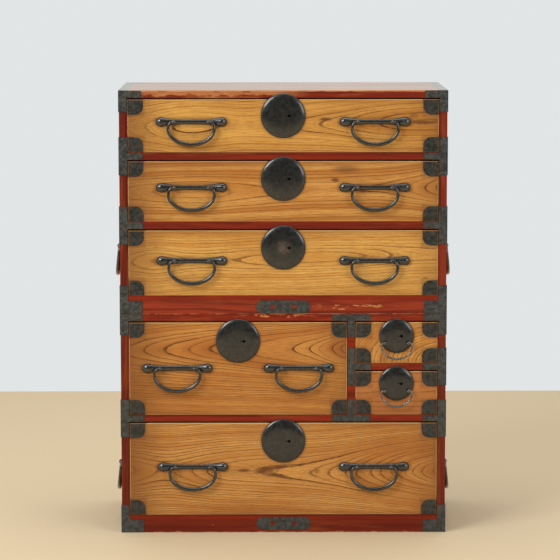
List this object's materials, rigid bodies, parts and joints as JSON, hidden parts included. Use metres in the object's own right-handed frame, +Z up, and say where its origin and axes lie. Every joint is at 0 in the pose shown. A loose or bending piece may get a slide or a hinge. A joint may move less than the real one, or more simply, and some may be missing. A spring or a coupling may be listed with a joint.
{
  "type": "tansu chest",
  "caption": "Stacked chest of plain drawers in red lacquered cases, with iron straps, disc locks with sliding bolts, drop handles and side carrying handles.",
  "frame": {"origin": "on the floor, under the middle of the chest's outline", "axes": "+Z up, +X to the right of someone who faces the drawers, +Y from the drawers towards the back"},
  "size_m": [0.636, 0.3161, 0.827],
  "materials": {
    "red_lacquer": "red lacquer, worn at the edges",
    "zelkova_fronts": "rubbed oil over bold flat-sawn grain",
    "paulownia_boxes": "bare, planed",
    "plain_backs": "bare, aged",
    "blackened_iron": "forged and blackened, satin"
  },
  "bodies": {
    "lower_case": {"lower_side_left": "red_lacquer", "lower_side_right": "red_lacquer", "lower_top_board": "red_lacquer", "lower_bottom_board": "red_lacquer", "lower_back_boards": "plain_backs", "lower_rails": "red_lacquer", "lower_dust_boards": "paulownia_boxes", "lower_irons": "blackened_iron"},
    "upper_case": {"upper_side_left": "red_lacquer", "upper_side_right": "red_lacquer", "upper_top_board": "red_lacquer", "upper_bottom_board": "red_lacquer", "upper_back_boards": "plain_backs", "upper_rails": "red_lacquer", "upper_dust_boards": "paulownia_boxes", "upper_irons": "blackened_iron"},
    "drawer_1": {"drawer_1_front": "zelkova_fronts", "drawer_1_box": "paulownia_boxes", "drawer_1_ironwork": "blackened_iron"},
    "drawer_2": {"drawer_2_front": "zelkova_fronts", "drawer_2_box": "paulownia_boxes", "drawer_2_ironwork": "blackened_iron"},
    "drawer_3": {"drawer_3_front": "zelkova_fronts", "drawer_3_box": "paulownia_boxes", "drawer_3_ironwork": "blackened_iron"},
    "drawer_4": {"drawer_4_front": "zelkova_fronts", "drawer_4_box": "paulownia_boxes", "drawer_4_ironwork": "blackened_iron"},
    "drawer_5": {"drawer_5_front": "zelkova_fronts", "drawer_5_box": "paulownia_boxes", "drawer_5_ironwork": "blackened_iron"},
    "drawer_6": {"drawer_6_front": "zelkova_fronts", "drawer_6_box": "paulownia_boxes", "drawer_6_ironwork": "blackened_iron"},
    "drawer_7": {"drawer_7_front": "zelkova_fronts", "drawer_7_box": "paulownia_boxes", "drawer_7_ironwork": "blackened_iron"},
    "lock_bolt_1": {"lock_bolt_1": "blackened_iron"},
    "lock_bolt_2": {"lock_bolt_2": "blackened_iron"},
    "lock_bolt_3": {"lock_bolt_3": "blackened_iron"},
    "lock_bolt_4": {"lock_bolt_4": "blackened_iron"},
    "lock_bolt_5": {"lock_bolt_5": "blackened_iron"},
    "lock_bolt_6": {"lock_bolt_6": "blackened_iron"},
    "lock_bolt_7": {"lock_bolt_7": "blackened_iron"},
    "handle_1_left": {"handle_1_left": "blackened_iron"},
    "handle_1_right": {"handle_1_right": "blackened_iron"},
    "handle_2_left": {"handle_2_left": "blackened_iron"},
    "handle_2_right": {"handle_2_right": "blackened_iron"},
    "handle_3_left": {"handle_3_left": "blackened_iron"},
    "handle_3_right": {"handle_3_right": "blackened_iron"},
    "handle_4_left": {"handle_4_left": "blackened_iron"},
    "handle_4_right": {"handle_4_right": "blackened_iron"},
    "handle_7_left": {"handle_7_left": "blackened_iron"},
    "handle_7_right": {"handle_7_right": "blackened_iron"},
    "ring_pull_5": {"ring_pull_5": "blackened_iron"},
    "ring_pull_6": {"ring_pull_6": "blackened_iron"},
    "carry_handle_lower_left": {"carry_handle_lower_left": "blackened_iron"},
    "carry_handle_lower_right": {"carry_handle_lower_right": "blackened_iron"},
    "carry_handle_upper_left": {"carry_handle_upper_left": "blackened_iron"},
    "carry_handle_upper_right": {"carry_handle_upper_right": "blackened_iron"}
  },
  "joints": [
    {"name": "upper_case_lift", "type": "slide", "parent": "lower_case", "child": "upper_case", "axis": [0, 0, 1], "range_m": [0, 0.3]},
    {"name": "drawer_1_slide", "type": "slide", "parent": "upper_case", "child": "drawer_1", "axis": [0, -1, 0], "range_m": [0, 0.24]},
    {"name": "drawer_2_slide", "type": "slide", "parent": "upper_case", "child": "drawer_2", "axis": [0, -1, 0], "range_m": [0, 0.24]},
    {"name": "drawer_3_slide", "type": "slide", "parent": "upper_case", "child": "drawer_3", "axis": [0, -1, 0], "range_m": [0, 0.24]},
    {"name": "drawer_4_slide", "type": "slide", "parent": "lower_case", "child": "drawer_4", "axis": [0, -1, 0], "range_m": [0, 0.24]},
    {"name": "drawer_5_slide", "type": "slide", "parent": "lower_case", "child": "drawer_5", "axis": [0, -1, 0], "range_m": [0, 0.24]},
    {"name": "drawer_6_slide", "type": "slide", "parent": "lower_case", "child": "drawer_6", "axis": [0, -1, 0], "range_m": [0, 0.24]},
    {"name": "drawer_7_slide", "type": "slide", "parent": "lower_case", "child": "drawer_7", "axis": [0, -1, 0], "range_m": [0, 0.24]},
    {"name": "lock_1_throw", "type": "slide", "parent": "drawer_1", "child": "lock_bolt_1", "axis": [0, 0, 1], "range_m": [0, 0.008]},
    {"name": "lock_2_throw", "type": "slide", "parent": "drawer_2", "child": "lock_bolt_2", "axis": [0, 0, 1], "range_m": [0, 0.008]},
    {"name": "lock_3_throw", "type": "slide", "parent": "drawer_3", "child": "lock_bolt_3", "axis": [0, 0, 1], "range_m": [0, 0.008]},
    {"name": "lock_4_throw", "type": "slide", "parent": "drawer_4", "child": "lock_bolt_4", "axis": [0, 0, 1], "range_m": [0, 0.008]},
    {"name": "lock_5_throw", "type": "slide", "parent": "drawer_5", "child": "lock_bolt_5", "axis": [0, 0, 1], "range_m": [0, 0.008]},
    {"name": "lock_6_throw", "type": "slide", "parent": "drawer_6", "child": "lock_bolt_6", "axis": [0, 0, 1], "range_m": [0, 0.008]},
    {"name": "lock_7_throw", "type": "slide", "parent": "drawer_7", "child": "lock_bolt_7", "axis": [0, 0, 1], "range_m": [0, 0.008]},
    {"name": "handle_1_left_swing", "type": "hinge", "parent": "drawer_1", "child": "handle_1_left", "pos_m": [-0.169, -0.15395, 0.769], "axis": [-1, 0, 0], "range_deg": [-7, 165]},
    {"name": "handle_1_right_swing", "type": "hinge", "parent": "drawer_1", "child": "handle_1_right", "pos_m": [0.169, -0.15395, 0.769], "axis": [-1, 0, 0], "range_deg": [-7, 165]},
    {"name": "handle_2_left_swing", "type": "hinge", "parent": "drawer_2", "child": "handle_2_left", "pos_m": [-0.169, -0.15395, 0.6479], "axis": [-1, 0, 0], "range_deg": [-7, 165]},
    {"name": "handle_2_right_swing", "type": "hinge", "parent": "drawer_2", "child": "handle_2_right", "pos_m": [0.169, -0.15395, 0.6479], "axis": [-1, 0, 0], "range_deg": [-7, 165]},
    {"name": "handle_3_left_swing", "type": "hinge", "parent": "drawer_3", "child": "handle_3_left", "pos_m": [-0.169, -0.15395, 0.512], "axis": [-1, 0, 0], "range_deg": [-7, 165]},
    {"name": "handle_3_right_swing", "type": "hinge", "parent": "drawer_3", "child": "handle_3_right", "pos_m": [0.169, -0.15395, 0.512], "axis": [-1, 0, 0], "range_deg": [-7, 165]},
    {"name": "handle_4_left_swing", "type": "hinge", "parent": "drawer_4", "child": "handle_4_left", "pos_m": [-0.197, -0.15395, 0.311], "axis": [-1, 0, 0], "range_deg": [-7, 165]},
    {"name": "handle_4_right_swing", "type": "hinge", "parent": "drawer_4", "child": "handle_4_right", "pos_m": [0.029, -0.15395, 0.311], "axis": [-1, 0, 0], "range_deg": [-7, 165]},
    {"name": "handle_7_left_swing", "type": "hinge", "parent": "drawer_7", "child": "handle_7_left", "pos_m": [-0.169, -0.15395, 0.1246], "axis": [-1, 0, 0], "range_deg": [-7, 165]},
    {"name": "handle_7_right_swing", "type": "hinge", "parent": "drawer_7", "child": "handle_7_right", "pos_m": [0.169, -0.15395, 0.1246], "axis": [-1, 0, 0], "range_deg": [-7, 165]},
    {"name": "ring_pull_5_swing", "type": "hinge", "parent": "drawer_5", "child": "ring_pull_5", "pos_m": [0.2103, -0.15495, 0.3587], "axis": [-1, 0, 0], "range_deg": [-7, 165]},
    {"name": "ring_pull_6_swing", "type": "hinge", "parent": "drawer_6", "child": "ring_pull_6", "pos_m": [0.2103, -0.15495, 0.2693], "axis": [-1, 0, 0], "range_deg": [-7, 165]},
    {"name": "carry_handle_lower_left_swing", "type": "hinge", "parent": "lower_case", "child": "carry_handle_lower_left", "pos_m": [-0.3076, 0.00665, 0.116], "axis": [0, 1, 0], "range_deg": [0, 100]},
    {"name": "carry_handle_lower_right_swing", "type": "hinge", "parent": "lower_case", "child": "carry_handle_lower_right", "pos_m": [0.3076, 0.00665, 0.116], "axis": [0, -1, 0], "range_deg": [0, 100]},
    {"name": "carry_handle_upper_left_swing", "type": "hinge", "parent": "upper_case", "child": "carry_handle_upper_left", "pos_m": [-0.3076, 0.00665, 0.5295], "axis": [0, 1, 0], "range_deg": [0, 100]},
    {"name": "carry_handle_upper_right_swing", "type": "hinge", "parent": "upper_case", "child": "carry_handle_upper_right", "pos_m": [0.3076, 0.00665, 0.5295], "axis": [0, -1, 0], "range_deg": [0, 100]}
  ]
}
